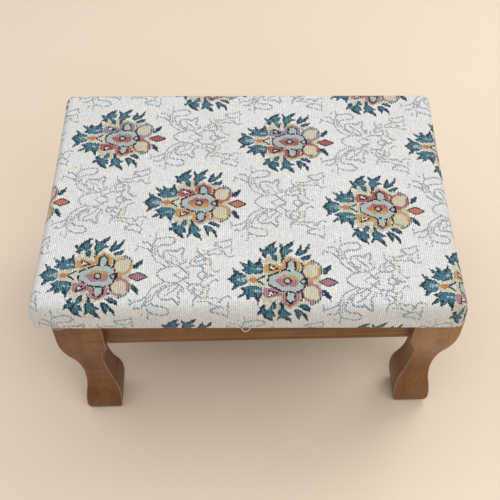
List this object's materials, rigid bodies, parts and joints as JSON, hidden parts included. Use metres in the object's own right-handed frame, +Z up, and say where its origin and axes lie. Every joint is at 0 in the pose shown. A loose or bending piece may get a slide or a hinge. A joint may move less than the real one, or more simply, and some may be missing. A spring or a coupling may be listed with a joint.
{
  "type": "footstool",
  "caption": "Low rectangular footstool with a thin tapestry-covered pad on a wooden frame with ogee legs and beaded aprons.",
  "frame": {"origin": "on the floor, under the middle of the pad, which is the middle of the whole object's outline", "axes": "+X along the long side, to the right as seen from the front; +Y to the back; +Z up"},
  "size_m": [0.4, 0.288, 0.215],
  "materials": {
    "leg_wood": "satin",
    "apron_wood": "satin",
    "raw_wood": "raw",
    "seat_plywood": "raw",
    "screw_steel": "satin",
    "glide_steel": "satin",
    "foam": "matt",
    "wadding": "matt",
    "tapestry": "matt",
    "dust_cloth": "matt"
  },
  "bodies": {
    "root": {"leg_front_left": "leg_wood", "leg_front_right": "leg_wood", "leg_back_left": "leg_wood", "leg_back_right": "leg_wood", "apron_front": "apron_wood", "apron_back": "apron_wood", "apron_left": "apron_wood", "apron_right": "apron_wood", "apron_dowels": "raw_wood", "corner_block_front_left": "raw_wood", "corner_block_front_right": "raw_wood", "corner_block_back_left": "raw_wood", "corner_block_back_right": "raw_wood", "seat_screws": "screw_steel", "foot_glides": "glide_steel", "seat_board": "seat_plywood", "foam_pad": "foam", "wadding": "wadding", "tapestry_cover": "tapestry", "dust_cover": "dust_cloth"}
  },
  "joints": []
}
